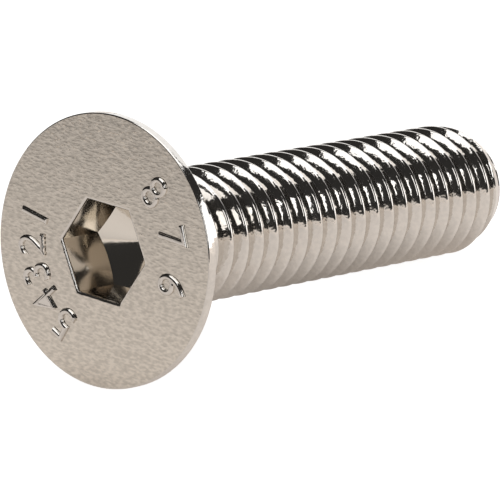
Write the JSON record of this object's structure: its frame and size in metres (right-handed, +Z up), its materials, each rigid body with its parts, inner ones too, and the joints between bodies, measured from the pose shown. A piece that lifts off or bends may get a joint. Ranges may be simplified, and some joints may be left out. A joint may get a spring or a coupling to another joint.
{
  "type": "countersunk socket screw",
  "caption": "Countersunk screw with a flat head, hexagon socket and right-hand metric thread along its shank, in bright nickel-plated steel, lying on its side.",
  "frame": {"origin": "on the ground, under the middle of the screw's length as it lies", "axes": "+Z up; the thread axis lies in the XZ plane, with the head at -X and the tail at +X, 7.2 degrees lower towards the tail"},
  "size_m": [0.0254, 0.0116, 0.0117],
  "materials": {
    "screw": "bright nickel plating on steel, with a fine orange-peel ripple on the head face"
  },
  "bodies": {
    "root": {"screw": "screw"}
  },
  "joints": []
}
